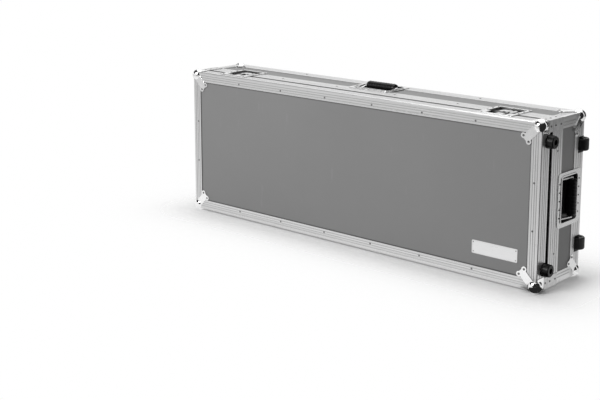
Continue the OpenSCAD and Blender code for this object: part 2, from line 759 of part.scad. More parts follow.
lid_front_panel();
for (s = SIDES) lid_edge(s);
lid_foam();
lid_ball_corners();
lid_corner_braces();
end_feet();
hinge_lid_leaves();
latch_catches();
base_rear_panel();
for (s = SIDES) base_side_panel(s);
for (s = SIDES) base_closure(s);
for (s = SIDES) rear_edge(s);
base_corner_edges();
base_ball_corners();
base_corner_braces();
seal();
base_floor_foam();
base_wall_foam();
rear_feet();
hinge_base_leaves();
hinge_pins();
wheel_housings();
wheel_axles();
wheel_tyre(1);  // wheel_upper_tyre
wheel_hub(1);  // wheel_upper_hub
wheel_tyre(-1);  // wheel_lower_tyre
wheel_hub(-1);  // wheel_lower_hub
for (s = HANDLES) handle_dish(s);
for (s = HANDLES) handle_bail(s);
for (s = HANDLES) handle_grip(s);
latch_bridges();
for (s = LATCHES) latch_dish(s);
for (s = LATCHES) latch_hook(s);
for (s = LATCHES) latch_spindle(s);
for (s = LATCHES) latch_wing(s, s == "left" ? 1 : -1);
for (s = LATCHES) latch_wing(s, s == "left" ? -1 : 1);
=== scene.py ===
import math

import bmesh
import bpy
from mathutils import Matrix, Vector, noise


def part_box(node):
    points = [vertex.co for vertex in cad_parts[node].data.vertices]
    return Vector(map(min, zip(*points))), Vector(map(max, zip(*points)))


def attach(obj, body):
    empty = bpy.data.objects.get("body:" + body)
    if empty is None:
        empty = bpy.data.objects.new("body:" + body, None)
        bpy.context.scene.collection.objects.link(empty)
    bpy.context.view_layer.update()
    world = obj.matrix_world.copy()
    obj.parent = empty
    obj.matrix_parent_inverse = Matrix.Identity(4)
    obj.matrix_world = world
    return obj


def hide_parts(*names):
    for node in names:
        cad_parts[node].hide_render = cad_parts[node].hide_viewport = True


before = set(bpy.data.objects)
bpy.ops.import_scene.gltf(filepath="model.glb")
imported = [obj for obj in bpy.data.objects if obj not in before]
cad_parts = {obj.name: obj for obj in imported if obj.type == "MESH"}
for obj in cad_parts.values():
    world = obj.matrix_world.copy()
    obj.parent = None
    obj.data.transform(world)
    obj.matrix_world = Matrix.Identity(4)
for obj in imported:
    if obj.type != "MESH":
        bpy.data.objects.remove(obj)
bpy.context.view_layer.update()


# ------------------------------------------------------------------ laminated panels
# Plywood boards of 9 mm with a grey phenolic laminate on both sides, held in the edging. The
# face is pressed with a fine leather grain, scuffs paler, and has a painted shadow line where it
# enters a flange.

class Signal:
    """A socket in a node tree. Arithmetic on it adds Math nodes."""

    def __init__(self, tree, socket):
        self.tree, self.socket = tree, socket

    def maths(self, operation, *terms):
        return self.tree.node(
            "ShaderNodeMath", {"operation": operation}, dict(enumerate(terms)))

    def __add__(self, other):
        return self.maths("ADD", self, other)

    def __sub__(self, other):
        return self.maths("SUBTRACT", self, other)

    def __rsub__(self, other):
        return self.maths("SUBTRACT", other, self)

    def __mul__(self, other):
        return self.maths("MULTIPLY", self, other)

    __radd__, __rmul__ = __add__, __mul__

    def least(self, other):
        return self.maths("MINIMUM", self, other)

    def size(self):
        """The value without its sign."""
        return self.maths("ABSOLUTE", self)


class Tree:
    """A node tree, to which each node is added by one call."""

    def __init__(self, tree):
        self.links, self.nodes = tree.links, tree.nodes

    def node(self, kind, settings, sockets, result=0):
        """A node of that type, with its settings and the values or links of its sockets."""
        made = self.nodes.new(kind)
        for name, value in settings.items():
            setattr(made, name, value)
        for key, value in sockets.items():
            self.join(self.pick(made.inputs, key), value)
        return Signal(self, self.pick(made.outputs, result))

    def pick(self, sockets, key):
        """The socket of that name or number among those in use."""
        shown = [socket for socket in sockets if socket.enabled]
        if isinstance(key, int):
            return shown[key]
        return next(socket for socket in shown if socket.name == key)

    def join(self, socket, value):
        if isinstance(value, Signal):
            self.links.new(value.socket, socket)
        elif socket.type == "RGBA":
            socket.default_value = (*value, 1)
        else:
            socket.default_value = value

    def end(self, kind, socket, value):
        """The last node of a tree."""
        self.join(self.nodes.new(kind).inputs[socket], value)


class Finish(Tree):
    """One surface finish. What is the same all over is set here, and the rest is fed by nodes."""

    def __init__(self, name, **same):
        self.material = bpy.data.materials.new(name)
        self.material.use_nodes = True
        super().__init__(self.material.node_tree)
        self.surface = self.nodes["Principled BSDF"]
        self.vary(**same)
        self.place = self.node("ShaderNodeTexCoord", {}, {}, "Object")

    def vary(self, **fed):
        """Sets or feeds sockets of the surface, such as Base_Color and Roughness."""
        for socket, value in fed.items():
            self.join(self.surface.inputs[socket.replace("_", " ")], value)

    def grain(self, scale, stretch=(1, 1, 1), detail=3.0):
        """Noise from 0 to 1, with scale in features per metre, pressed by stretch."""
        pressed = self.node("ShaderNodeMapping", {}, {"Vector": self.place, "Scale": stretch})
        return self.node("ShaderNodeTexNoise", {},
                         {"Vector": pressed, "Scale": scale, "Detail": detail}, "Fac")

    def cells(self, scale, feature="F1", result="Distance"):
        """Cells, with scale in cells per metre."""
        return self.node("ShaderNodeTexVoronoi", {"feature": feature},
                         {"Vector": self.place, "Scale": scale}, result)

    def above(self, value, low, high, start=0.0, end=1.0):
        """Start below low, end above high, and a soft step between."""
        return self.node("ShaderNodeMapRange", {"interpolation_type": "SMOOTHSTEP"},
                         {"Value": value, "From Min": low, "From Max": high,
                          "To Min": start, "To Max": end})

    def below(self, value, low, high):
        """1 below low, 0 above high."""
        return self.above(value, low, high, 1, 0)

    def mix(self, amount, first, second):
        return self.node("ShaderNodeMix", {"data_type": "RGBA"},
                         {"Factor": amount, "A": first, "B": second}, "Result")

    def bump(self, height, depth):
        """Relief of that depth in metres."""
        return self.node("ShaderNodeBump", {},
                         {"Height": height, "Distance": depth, "Strength": 1.0}, "Normal")


def grey(level):
    return (level, level, level)


CORNER = Vector((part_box("lid_edge_left")[0].x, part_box("lid_edge_left")[0].y,
                 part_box("lid_edge_bottom")[0].z))
FAR = Vector((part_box("rear_edge_right")[1].x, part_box("rear_edge_right")[1].y,
              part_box("rear_edge_top")[1].z))
LONG, DEEP, HIGH = ((FAR - CORNER) * 1000)[:]      # the aluminium body, in millimetres


def at(x, y, z):
    """A point given in millimetres from the front left bottom corner of the body."""
    return CORNER + Vector((x, y, z)) / 1000


def inside(finish):
    """How far a point lies below the nearest side of the case, and from its front and back."""
    x, y, z = (finish.node("ShaderNodeSeparateXYZ", {}, {"Vector": finish.place}, i)
               for i in range(3))
    middle = (CORNER + FAR) / 2
    across = LONG / 2000 - (x - middle.x).size()
    up = HIGH / 2000 - (z - middle.z).size()
    return across.least(up), y - CORNER.y, FAR.y - y


def cover(finish, *names):
    """Gives CAD nodes a finish."""
    for name in names:
        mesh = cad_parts[name].data
        mesh.materials.clear()
        mesh.materials.append(finish.material)


laminate = Finish("grey_laminate", IOR=1.5, Specular_IOR_Level=0.28)
pressed = laminate.cells(620, "SMOOTH_F1") + 0.35 * laminate.grain(1500, detail=2)
cloud = laminate.grain(3.2, detail=4)
scuffed = laminate.above(laminate.grain(46, (1, 1, 0.25), 5), 0.66, 0.76)
deep, front, back = inside(laminate)
FLANGE = 0.032                                     # metres of flange over a front or back board
BOARD_IN = 0.012                                   # just past that board's inner face
# Painted shadow: the front and back boards are darkened in a strip along each flange's edge.
painted_flange_shadow = laminate.below(deep, FLANGE + 0.0005, FLANGE + 0.0055) \
    * laminate.below(front.least(back), BOARD_IN, BOARD_IN + 0.002)
bare = laminate.mix(scuffed * 0.16, laminate.mix(cloud, grey(0.196), grey(0.222)), grey(0.30))
laminate.vary(
    Base_Color=laminate.mix(painted_flange_shadow * 0.8, bare, grey(0.04)),
    Roughness=0.40 + 0.12 * cloud + 0.08 * scuffed,
    Normal=laminate.bump(pressed, 0.00006))
cover(laminate, "lid_front_panel", "base_rear_panel", "base_top_panel", "base_bottom_panel",
      "base_left_panel", "base_right_panel")


# ------------------------------------------------------------------ aluminium edging
# Mill-finish aluminium extrusions, mitred at the corners and riveted to the panels. The die
# leaves fine lines along each run. The grooves are rougher and carry painted shade, and the
# channel at the seam is painted near black as shade.

GROOVE = 0.0004, 0.0016                            # metres below the face
EDGE_ROUND = 0.005                                 # no groove is as near an outer edge
CHANNEL = 0.0380, 0.0555                           # metres from the front
CHANNEL_DEPTH = 0.0018, 0.0095                     # metres below the face


def extruded(name, along):
    """Aluminium drawn along one axis, 0 to 2."""
    metal = Finish(name, Metallic=0.86, IOR=1.5)
    deep, front, back = inside(metal)
    sunk = deep.least(front).least(back)
    # Painted shade: the grooves in the flanges are coloured darker grey, and made rougher too.
    painted_groove_shade = metal.above(sunk, GROOVE[0], GROOVE[0] + 0.00025) \
        * metal.below(sunk, GROOVE[1] - 0.0004, GROOVE[1]) \
        * metal.above(deep + front.least(back), EDGE_ROUND, EDGE_ROUND + 0.001)
    # Painted shade: the recessed channel at the seam is coloured near black.
    painted_channel_shade = metal.above(deep, CHANNEL_DEPTH[0], CHANNEL_DEPTH[0] + 0.0022) \
        * metal.below(deep, CHANNEL_DEPTH[1] - 0.0010, CHANNEL_DEPTH[1]) \
        * metal.above(front, CHANNEL[0], CHANNEL[0] + 0.0008) \
        * metal.below(front, CHANNEL[1] - 0.0012, CHANNEL[1])
    fine = [2.0 if i == along else 1100.0 for i in range(3)]
    broad = [0.6 if i == along else 160.0 for i in range(3)]
    lines = metal.above(metal.grain(1, fine, 2), 0.3, 0.7)
    bands = metal.above(metal.grain(1, broad, 1), 0.3, 0.7)
    rubbed = metal.above(metal.grain(34, detail=5), 0.60, 0.74)
    tone = metal.mix(lines * 0.4 + bands * 0.6, grey(0.60), grey(0.73))
    worn = metal.mix(rubbed * 0.30, tone, grey(0.46))
    metal.vary(
        Base_Color=metal.mix(painted_channel_shade, metal.mix(painted_groove_shade, worn, grey(0.46)), grey(0.05)),
        Roughness=0.27 + 0.06 * lines + 0.10 * rubbed + 0.15 * painted_groove_shade,
        Normal=metal.bump(lines, 0.000008))
    return metal


extruded_x = extruded("extruded_aluminium_x", 0)
extruded_y = extruded("extruded_aluminium_y", 1)
extruded_z = extruded("extruded_aluminium_z", 2)
cover(extruded_x, "lid_edge_top", "lid_edge_bottom", "base_closure_top",
      "base_closure_bottom", "rear_edge_top", "rear_edge_bottom")
cover(extruded_z, "lid_edge_left", "lid_edge_right", "base_closure_left",
      "base_closure_right", "rear_edge_left", "rear_edge_right")
cover(extruded_y, "base_corner_edges")


# ------------------------------------------------------------------ pop rivets in the edging
# Dulled aluminium pop rivets with a domed head and the end of the mandrel sunk in the middle.
# They are set through the flanges at an even pitch, with plain gaps at the corners.

def ring(shape, radius, height, count):
    """A level ring of points about Z, or a pole where the radius is 0."""
    if radius == 0:
        return [shape.verts.new((0, 0, height))]
    turns = [2 * math.pi * i / count for i in range(count)]
    return [shape.verts.new((radius * math.cos(turn), radius * math.sin(turn), height))
            for turn in turns]


def bridge(shape, rings):
    """Faces from each ring to the next, drawn together where that one is a pole."""
    for low, high in zip(rings, rings[1:]):
        for i in range(len(low)):
            j = (i + 1) % len(low)
            if len(high) == 1:
                shape.faces.new((low[i], low[j], high[0]))
            else:
                shape.faces.new((low[i], low[j], high[j], high[i]))


def mesh_of(name, shape):
    mesh = bpy.data.meshes.new(name)
    shape.to_mesh(mesh)
    shape.free()
    return mesh


def put(name, data):
    """An object of that mesh, lamp or camera in the scene."""
    made = bpy.data.objects.new(name, data)
    bpy.context.scene.collection.objects.link(made)
    return made


def settled(carrier):
    """The plain mesh of an object with its modifiers. The object itself goes."""
    bpy.context.view_layer.update()
    evaluated = carrier.evaluated_get(bpy.context.evaluated_depsgraph_get())
    mesh = bpy.data.meshes.new_from_object(evaluated)
    bpy.data.objects.remove(carrier)
    return mesh


def fixing_tree():
    """Sets one head on each point, pointing along its "out", turned by chance."""
    group = bpy.data.node_groups.new("fixings", "GeometryNodeTree")
    for name, kind in (("Points", "Geometry"), ("Head", "Object"), ("Width", "Float"),
                       ("Height", "Float"), ("Seed", "Int"), ("Finish", "Material")):
        group.interface.new_socket(name, in_out="INPUT", socket_type="NodeSocket" + kind)
    group.interface.new_socket("Fixings", in_out="OUTPUT", socket_type="NodeSocketGeometry")
    tree = Tree(group)

    def given(name):
        return tree.node("NodeGroupInput", {}, {}, name)

    out = tree.node("GeometryNodeInputNamedAttribute", {"data_type": "FLOAT_VECTOR"},
                    {"Name": "out"})
    upright = tree.node("FunctionNodeAlignRotationToVector", {"axis": "Z"}, {"Vector": out})
    angle = tree.node("FunctionNodeRandomValue", {"data_type": "FLOAT"},
                      {"Min": 0.0, "Max": 2 * math.pi, "Seed": given("Seed")})
    spin = tree.node("FunctionNodeAxisAngleToRotation", {}, {"Axis": (0, 0, 1), "Angle": angle})
    turned = tree.node("FunctionNodeRotateRotation", {"rotation_space": "LOCAL"},
                       {"Rotation": upright, "Rotate By": spin})
    head = tree.node("GeometryNodeObjectInfo", {}, {"Object": given("Head")}, "Geometry")
    size = tree.node("ShaderNodeCombineXYZ", {},
                     {"X": given("Width"), "Y": given("Width"), "Z": given("Height")})
    placed = tree.node("GeometryNodeInstanceOnPoints", {},
                       {"Points": given("Points"), "Instance": head, "Rotation": turned,
                        "Scale": size})
    real = tree.node("GeometryNodeRealizeInstances", {}, {"Geometry": placed})
    done = tree.node("GeometryNodeSetMaterial", {},
                     {"Geometry": real, "Material": given("Finish")})
    tree.end("NodeGroupOutput", "Fixings", done)
    return group


FIXINGS = fixing_tree()


def fix(name, body, kind, spots, seed):
    """Heads of one kind at (point, direction) spots, as one mesh that rides on a body. A kind is
    its template, its width and height in millimetres, and its finish."""
    head, width, height, finish = kind
    mesh = bpy.data.meshes.new(name + "_points")
    mesh.from_pydata([spot for spot, way in spots], [], [])
    out = mesh.attributes.new("out", "FLOAT_VECTOR", "POINT")
    for datum, (spot, way) in zip(out.data, spots):
        datum.vector = way
    carrier = put(name + "_points", mesh)
    modifier = carrier.modifiers.new("fixings", "NODES")
    modifier.node_group = FIXINGS
    given = {"Head": head, "Width": width / 1000, "Height": height / 1000, "Seed": seed,
             "Finish": finish.material}
    for item in FIXINGS.interface.items_tree:
        if item.in_out == "INPUT" and item.name in given:
            modifier[item.identifier] = given[item.name]
    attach(put(name, settled(carrier)), body)


rivet_metal = Finish("rivet_aluminium", Metallic=0.9)
dull = rivet_metal.grain(900, detail=2)
rivet_metal.vary(Base_Color=rivet_metal.mix(dull, grey(0.14), grey(0.26)),
                 Roughness=0.26 + 0.2 * dull,
                 Normal=rivet_metal.bump(dull, 0.00002))


def pop_rivet():
    """The head of a set rivet, of unit size, with the mandrel's end sunk in it."""
    shape = bmesh.new()
    bridge(shape, [ring(shape, radius, height, 12) for radius, height in (
        (0.5, -0.2), (0.5, 0.25), (0.44, 0.62), (0.35, 0.92), (0.28, 1.0), (0.25, 0.25),
        (0, 0.2))])
    mesh = mesh_of("rivet_head", shape)
    mesh.shade_smooth()
    return bpy.data.objects.new("rivet_head", mesh)


rivet_head = pop_rivet()
EDGE_RIVET = rivet_head, 6.0, 1.1, rivet_metal
FRONT, BACK, LEFT, RIGHT, DOWN, UP = (Vector(v) for v in (
    (0, -1, 0), (0, 1, 0), (-1, 0, 0), (1, 0, 0), (0, 0, -1), (0, 0, 1)))


def even(start, end, count):
    return [start + (end - start) * i / (count - 1) for i in range(count)]


LINE_LONG, LINE_SHORT = 22, 20                     # from the outer edge of a flange
CLOSURE_LINE, REAR_LINE = 84, 200                  # from the front of the case
long_runs = even(212, LONG - 212, 6)
short_runs = (168, HIGH - 168)
seam_runs = even(330, LONG - 330, 4)
end_runs = (90, HIGH - 90)


def flange_rivets(y, way):
    """The rivets round the front or the back of the case."""
    return [(at(x, y, z), way) for x in long_runs for z in (LINE_LONG, HIGH - LINE_LONG)] \
        + [(at(x, y, z), way) for x in (LINE_SHORT, LONG - LINE_SHORT) for z in short_runs]


fix("lid_edge_rivets", "lid", EDGE_RIVET, flange_rivets(0, FRONT), seed=3)
fix("base_edge_rivets", "base", EDGE_RIVET, flange_rivets(DEEP, BACK)
    + [(at(x, CLOSURE_LINE, HIGH), UP) for x in seam_runs]
    + [(at(x, CLOSURE_LINE, 0), DOWN) for x in seam_runs]
    + [(at(x, REAR_LINE, z), way) for x in (seam_runs[0], seam_runs[-1])
       for z, way in ((0, DOWN), (HIGH, UP))]
    + [(at(x, CLOSURE_LINE, z), way) for z in end_runs
       for x, way in ((0, LEFT), (LONG, RIGHT))], seed=4)


# ------------------------------------------------------------------ ball corners
# Pressed steel ball corners, chrome plated and polished, with legs that are riveted to the
# faces. A pop rivet sits in each of the two lobes of a leg.

chrome = Finish("polished_chrome", Metallic=1.0)
hand = chrome.grain(70, detail=4)
hairline = chrome.grain(1, (420, 60, 420), 2)
chrome.vary(Base_Color=chrome.mix(hand, grey(0.84), grey(0.93)),
            Roughness=chrome.above(hand, 0.35, 0.75, 0.07, 0.20),
            Normal=chrome.bump(hairline + hand, 0.00003))
cover(chrome, "lid_ball_corners", "base_ball_corners")

CORNER_PLATE, LEG_FAR, LEG_NEAR = 1.6, 57, 41
CORNER_RIVET = rivet_head, 7.0, 1.4, rivet_metal


def corner_spots(iy):
    """The rivets of the four ball corners at the front, 0, or at the back, 1."""
    spots = []
    for ix in (0, 1):
        for iz in (0, 1):
            def inset(x, y, z):
                return at(LONG - x if ix else x, DEEP - y if iy else y, HIGH - z if iz else z)
            for far, near in ((LEG_FAR, LEG_NEAR), (LEG_NEAR, LEG_FAR)):
                spots.append((inset(far, -CORNER_PLATE, near), BACK if iy else FRONT))
                if iy:
                    spots.append((inset(-CORNER_PLATE, far, near), RIGHT if ix else LEFT))
                    spots.append((inset(far, near, -CORNER_PLATE), UP if iz else DOWN))
    return spots


fix("lid_corner_rivets", "lid", CORNER_RIVET, corner_spots(0), seed=5)
fix("base_corner_rivets", "base", CORNER_RIVET, corner_spots(1), seed=6)


# ------------------------------------------------------------------ corner braces and hinges
# Zinc plated steel: the angle plates that wrap the corners at the seam, and three short hinges
# under the case, with rolled knuckles on a steel pin.

zinc = Finish("zinc_plated_steel", Metallic=0.9)
crystals = zinc.cells(130, "F1", "Color")
spangle = zinc.node("ShaderNodeSeparateColor", {}, {"Color": crystals}, "Red")
marks = zinc.grain(260, detail=5)
zinc.vary(Base_Color=zinc.mix(spangle * 0.6 + marks * 0.4, grey(0.50), grey(0.64)),
          Roughness=0.26 + 0.16 * marks + 0.05 * spangle,
          Normal=zinc.bump(marks, 0.00002))
cover(zinc, "lid_corner_braces", "base_corner_braces", "hinge_lid_leaves",
      "hinge_base_leaves")

BRACE, LEAF = 1.4, 1.5                             # thickness of an angle plate and of a leaf
BRACE_LINE = 16                                    # from the case's edge to an angle's rivets
BRACE_LID, BRACE_BASE = 42, (66, 94)               # its rivets, from the front
LEAF_LID, LEAF_BASE = 32, 70                       # the rivets of a hinge, from the front
LEAF_PITCH = 21
HINGE_INSET, HINGES = 250, 3
lid_plates, base_plates = [], []
for x, side in ((-BRACE, LEFT), (LONG + BRACE, RIGHT)):
    for z in (BRACE_LINE, HIGH - BRACE_LINE):
        lid_plates.append((at(x, BRACE_LID, z), side))
        base_plates += [(at(x, y, z), side) for y in BRACE_BASE]
for z, way in ((-BRACE, DOWN), (HIGH + BRACE, UP)):
    for x in (BRACE_LINE, LONG - BRACE_LINE):
        lid_plates.append((at(x, BRACE_LID, z), way))
        base_plates += [(at(x, y, z), way) for y in BRACE_BASE]
for x in even(HINGE_INSET, LONG - HINGE_INSET, HINGES):
    for shift in (-LEAF_PITCH, 0, LEAF_PITCH):
        lid_plates.append((at(x + shift, LEAF_LID, -LEAF), DOWN))
        base_plates.append((at(x + shift, LEAF_BASE, -LEAF), DOWN))
fix("lid_plate_rivets", "lid", EDGE_RIVET, lid_plates, seed=7)
fix("base_plate_rivets", "base", EDGE_RIVET, base_plates, seed=8)

bare_steel = Finish("bright_steel", Metallic=1.0)
turned_marks = bare_steel.grain(500, detail=3)
bare_steel.vary(Base_Color=bare_steel.mix(turned_marks, grey(0.52), grey(0.66)),
                Roughness=0.18 + 0.16 * turned_marks,
                Normal=bare_steel.bump(turned_marks, 0.00001))
cover(bare_steel, "hinge_pins")


# ------------------------------------------------------------------ seal and foam
# A black rubber strip on the tongue of the base, all round the seam. The base is lined with
# flat grey foam glued to the panels, and the lid holds a slab of convoluted foam.

rubber = Finish("black_rubber", IOR=1.5, Specular_IOR_Level=0.25)
dust = rubber.above(rubber.grain(28, detail=5), 0.52, 0.75)
skin = rubber.grain(2600, detail=2)
rubber.vary(Base_Color=rubber.mix(dust * 0.20, grey(0.003), grey(0.020)),
            Roughness=0.30 + 0.25 * dust + 0.08 * skin,
            Normal=rubber.bump(skin, 0.00005))
cover(rubber, "seal")

foam = Finish("open_cell_foam", Sheen_Weight=0.25, IOR=1.3)
pores = foam.cells(900)
lumps = foam.grain(38, detail=4)
foam.vary(Base_Color=foam.mix(pores * 0.7 + lumps * 0.3, grey(0.018), grey(0.075)),
          Roughness=0.86 + 0.12 * lumps,
          Normal=foam.bump(pores + lumps, 0.0004))


def lining(node, body, mesh):
    """Puts a mesh of foam in place of a CAD slab."""
    mesh.materials.append(foam.material)
    mesh.shade_smooth()
    piece = put(node + "_padding", mesh)
    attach(piece, body)
    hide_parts(node)


def foam_slab(node, voxel, sunk, uneven, lumps_per_metre):
    """A soft slab in the room of a CAD slab: remeshed, rounded and a little uneven."""
    shape = bmesh.new()
    shape.from_mesh(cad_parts[node].data)
    bmesh.ops.remove_doubles(shape, verts=shape.verts, dist=1e-6)
    source = put(node + "_source", mesh_of(node, shape))
    remesh = source.modifiers.new("remesh", "REMESH")
    remesh.mode, remesh.voxel_size = "VOXEL", voxel
    soften = source.modifiers.new("soften", "SMOOTH")
    soften.factor, soften.iterations = 0.5, 3
    mesh = settled(source)
    outwards = [vertex.normal.copy() for vertex in mesh.vertices]
    for vertex, out in zip(mesh.vertices, outwards):
        vertex.co -= out * (sunk + uneven * noise.noise(vertex.co * lumps_per_metre))
    return mesh


for node in ("base_floor_foam", "base_wall_foam"):
    lining(node, "base", foam_slab(node, voxel=0.005, sunk=0.0006, uneven=0.0004,
                                   lumps_per_metre=24))


def convoluted(node, gap, pitch, valley, margin, rim_width, rim_drop):
    """A slab with rows of soft peaks towards +Y, and a plain rim round its edge."""
    low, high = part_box(node)
    low, high = low + Vector((gap, 0, gap)), high - Vector((gap, 0.4 * gap, gap))
    steps_per_wave = 7
    across = round((high.x - low.x) / pitch * steps_per_wave)
    up = round((high.z - low.z) / pitch * steps_per_wave)
    shape = bmesh.new()
    face, back = [], []
    for i in range(across + 1):
        for j in range(up + 1):
            x = low.x + (high.x - low.x) * i / across
            z = low.z + (high.z - low.z) * j / up
            edge = min(x - low.x, high.x - x, z - low.z, high.z - z)
            wave = 0.5 - 0.5 * math.cos(2 * math.pi * (x - low.x) / pitch) \
                * math.cos(2 * math.pi * (z - low.z) / pitch)
            depth = valley * wave * min(1.0, edge / margin) \
                + rim_drop * (1 - min(1.0, edge / rim_width)) ** 2
            face.append(shape.verts.new((x, high.y - depth, z)))
            back.append(shape.verts.new((x, low.y, z)))
    row = up + 1
    for i in range(across):
        for j in range(up):
            a = i * row + j
            shape.faces.new((face[a], face[a + 1], face[a + row + 1], face[a + row]))
            shape.faces.new((back[a + row], back[a + row + 1], back[a + 1], back[a]))
    rim = [i * row for i in range(across + 1)] \
        + [across * row + j for j in range(1, up + 1)] \
        + [i * row + up for i in range(across - 1, -1, -1)] \
        + [j for j in range(up - 1, 0, -1)]
    for a, b in zip(rim, rim[1:] + rim[:1]):
        shape.faces.new((face[a], face[b], back[b], back[a]))
    bmesh.ops.recalc_face_normals(shape, faces=shape.faces)
    return mesh_of(node + "_padding", shape)


lining("lid_foam", "lid", convoluted("lid_foam", gap=0.001, pitch=0.042, valley=0.009,
                                     margin=0.014, rim_width=0.006, rim_drop=0.004))


# ------------------------------------------------------------------ butterfly latches
# Two recessed latches in nickel plated pressed steel, rougher inside and darkened there with
# painted shade. The dish is riveted to the base, its key turns a crank under a bridge, and the
# hook draws on the keeper on the lid.

plated = Finish("nickel_plated_pressing", Metallic=0.95)
brushed = plated.grain(1, (24, 900, 900), 2)
wiped = plated.grain(55, detail=4)
# Painted shade: deeper than 1.5 to 5 mm below the nearest side, the pressing is coloured dark
# grey; it is rougher there too.
recess_painted_shade = plated.above(inside(plated)[0], 0.0015, 0.0050)
bright = plated.mix(wiped * 0.6 + brushed * 0.4, grey(0.60), grey(0.78))
plated.vary(Base_Color=plated.mix(recess_painted_shade, bright, grey(0.14)),
            Roughness=0.17 + 0.12 * wiped + 0.08 * brushed + 0.12 * recess_painted_shade,
            Normal=plated.bump(brushed + wiped, 0.00002))
cover(plated, "latch_left_dish", "latch_right_dish", "latch_catches", "latch_bridges",
      "latch_left_wing_inner", "latch_left_wing_outer", "latch_right_wing_inner",
      "latch_right_wing_outer")
cover(bare_steel, "latch_left_hook", "latch_right_hook", "latch_left_spindle",
      "latch_right_spindle")

DISH_RIVET = rivet_head, 5.6, 1.0, rivet_metal
PRESSED = 1.5                                      # thickness of a dish's rim
LATCH_INSET = 165
LATCH_HALF, CATCH_HALF = 50.5, 45                  # from a latch's middle to its rivets
LATCH_ROWS, CATCH_ROW = (64, 92, 120), 24          # from the front
latch_x = (LATCH_INSET, LONG - LATCH_INSET)
fix("latch_dish_rivets", "base", DISH_RIVET,
    [(at(x + half, y, HIGH + PRESSED), UP) for x in latch_x
     for half in (-LATCH_HALF, LATCH_HALF) for y in LATCH_ROWS], seed=9)
fix("latch_catch_rivets", "lid", DISH_RIVET,
    [(at(x + half, CATCH_ROW, HIGH + PRESSED), UP) for x in latch_x
     for half in (-CATCH_HALF, CATCH_HALF)], seed=10)


# ------------------------------------------------------------------ recessed handles
# Spring handles on the top and on both ends: a pressed steel dish, a bent steel rod with its
# pins in the dish's walls, and a black rubber grip moulded on the rod.

# The dishes take the plated finish, so they too carry painted shade deep inside.
cover(plated, "handle_top_dish", "handle_left_dish", "handle_right_dish")
cover(bare_steel, "handle_top_bail", "handle_left_bail", "handle_right_bail")
cover(rubber, "handle_top_grip", "handle_left_grip", "handle_right_grip")

DISH_Y, DISH_HALF = 152, 52                        # its middle, and out to its rivet lines
DISH_RUN = 48                                      # half the length of such a line
handle_spots = []
for along in even(-DISH_RUN, DISH_RUN, 5):
    for y in (DISH_Y - DISH_HALF, DISH_Y + DISH_HALF):
        handle_spots.append((at(LONG / 2 + along, y, HIGH + PRESSED), UP))
        handle_spots.append((at(-PRESSED, y, HIGH / 2 + along), LEFT))
        handle_spots.append((at(LONG + PRESSED, y, HIGH / 2 + along), RIGHT))
fix("handle_dish_rivets", "base", DISH_RIVET, handle_spots, seed=11)


# ------------------------------------------------------------------ rubber feet
# Tapered rubber feet with a deep well: two on the lid's right end, and four on the back. Each
# one is held by a pan-head screw with a cross recess, on a washer.

cover(rubber, "end_feet", "rear_feet")


def cross_screw():
    """A pan head of unit size on a washer, with a cross recess."""
    shape = bmesh.new()
    count = 24
    rings = [ring(shape, radius, height, count) for radius, height in (
        (0.5, -0.1), (0.5, 0.22), (0.40, 0.22), (0.39, 0.62), (0.33, 0.92), (0.24, 1.0))]
    arm = ((0.20, 0), (0.20, -0.12), (0.085, 0.06), (0.075, 0), (0.085, -0.06), (0.20, 0.12))
    cross = []
    for i in range(count):
        radius, shift = arm[i % len(arm)]
        angle = 2 * math.pi * i / count + shift
        cross.append((radius * math.cos(angle), radius * math.sin(angle)))
    rings.append([shape.verts.new((x, y, 1.0)) for x, y in cross])
    rings.append([shape.verts.new((x * 0.7, y * 0.7, 0.45)) for x, y in cross])
    bridge(shape, rings)
    shape.faces.new(rings[-1])
    return bpy.data.objects.new("cross_screw", mesh_of("cross_screw", shape))


FOOT_SCREW = cross_screw(), 12.0, 3.2, rivet_metal
FOOT_Y, FOOT_INSET, END_WELL = 34.2, 56, 10        # the well's floor, from the side of the case
REAR_INSET, REAR_MORE, REAR_WELL = 90, 30, 8.2     # more at the end with the wheels
fix("end_foot_screws", "lid", FOOT_SCREW,
    [(at(LONG + END_WELL, FOOT_Y, z), RIGHT) for z in (FOOT_INSET, HIGH - FOOT_INSET)],
    seed=12)
fix("rear_foot_screws", "base", FOOT_SCREW,
    [(at(x, DEEP + REAR_WELL, z), BACK) for x in (REAR_INSET, LONG - REAR_INSET - REAR_MORE)
     for z in (REAR_INSET, HIGH - REAR_INSET)], seed=13)


# ------------------------------------------------------------------ edge wheels
# Two rubber wheels on plastic hubs, let into the rear edge of the right end in black plastic
# cups. A steel axle passes through the cheeks of each cup.

plastic = Finish("black_moulded_plastic", IOR=1.48, Specular_IOR_Level=0.35)
spark = plastic.cells(1500)
plastic.vary(Base_Color=plastic.mix(spark, grey(0.012), grey(0.026)),
             Roughness=0.38 + 0.14 * spark,
             Normal=plastic.bump(spark, 0.00004))
cover(plastic, "wheel_housings", "wheel_upper_hub", "wheel_lower_hub")

tread = Finish("wheel_rubber", IOR=1.5, Specular_IOR_Level=0.35)
rolled = tread.grain(1, (300, 300, 40), 3)
tread.vary(Base_Color=tread.mix(tread.above(rolled, 0.5, 0.8), grey(0.007), grey(0.03)),
           Roughness=0.34 + 0.25 * rolled,
           Normal=tread.bump(rolled, 0.0001))
cover(tread, "wheel_upper_tyre", "wheel_lower_tyre")
cover(bare_steel, "wheel_axles")


# ------------------------------------------------------------------ name plate
# A bare brushed aluminium plate with a raised rim, low on the right of the front panel, held
# by four drive pins.

name_metal = Finish("brushed_name_plate", Metallic=0.85)
strokes = name_metal.grain(1, (18, 1400, 1400), 2)
name_metal.vary(Base_Color=name_metal.mix(strokes, grey(0.70), grey(0.86)),
                Roughness=0.24 + 0.12 * strokes,
                Normal=name_metal.bump(strokes, 0.00002))

